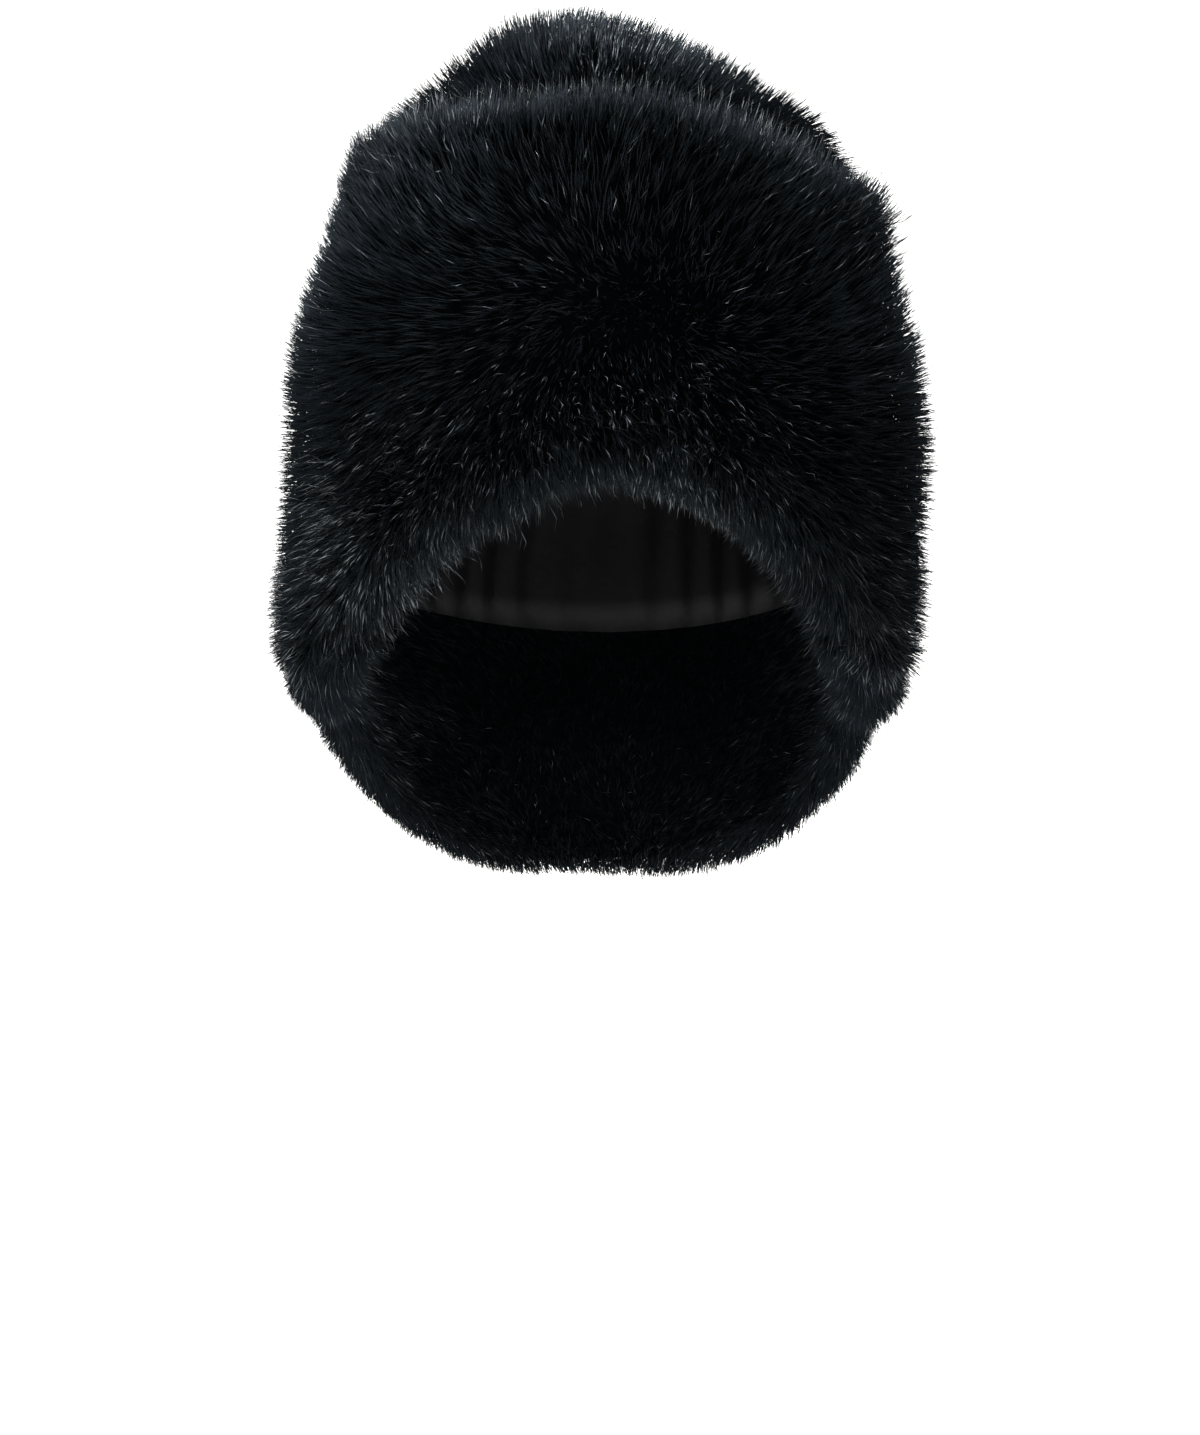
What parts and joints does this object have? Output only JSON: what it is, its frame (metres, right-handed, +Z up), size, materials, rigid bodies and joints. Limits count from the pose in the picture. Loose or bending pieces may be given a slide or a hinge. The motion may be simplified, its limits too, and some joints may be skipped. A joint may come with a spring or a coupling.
{
  "type": "faux fur trapper hat with turned-up front flap and neck flap",
  "caption": "Deep black faux fur winter hat: domed crown, padded front flap turned up over the forehead, and a low neck flap round ears and nape.",
  "frame": {"origin": "inside the top of the crown, where the hat rests on the wearer's head", "axes": "+Z up as worn, -Y the way the hat faces, +X to the wearer's left"},
  "size_m": [0.224, 0.2445, 0.3259],
  "materials": {
    "crown_fur": "near-black long-pile faux fur over padded cloth, plain black lining inside",
    "flap_fur": "near-black long-pile faux fur, padded, with bare black cloth on the hidden back",
    "neck_fur": "near-black long-pile faux fur outside, shorter pile inside"
  },
  "bodies": {
    "root": {"crown": "crown_fur", "front_flap": "flap_fur", "neck_flap": "neck_fur"}
  },
  "joints": []
}
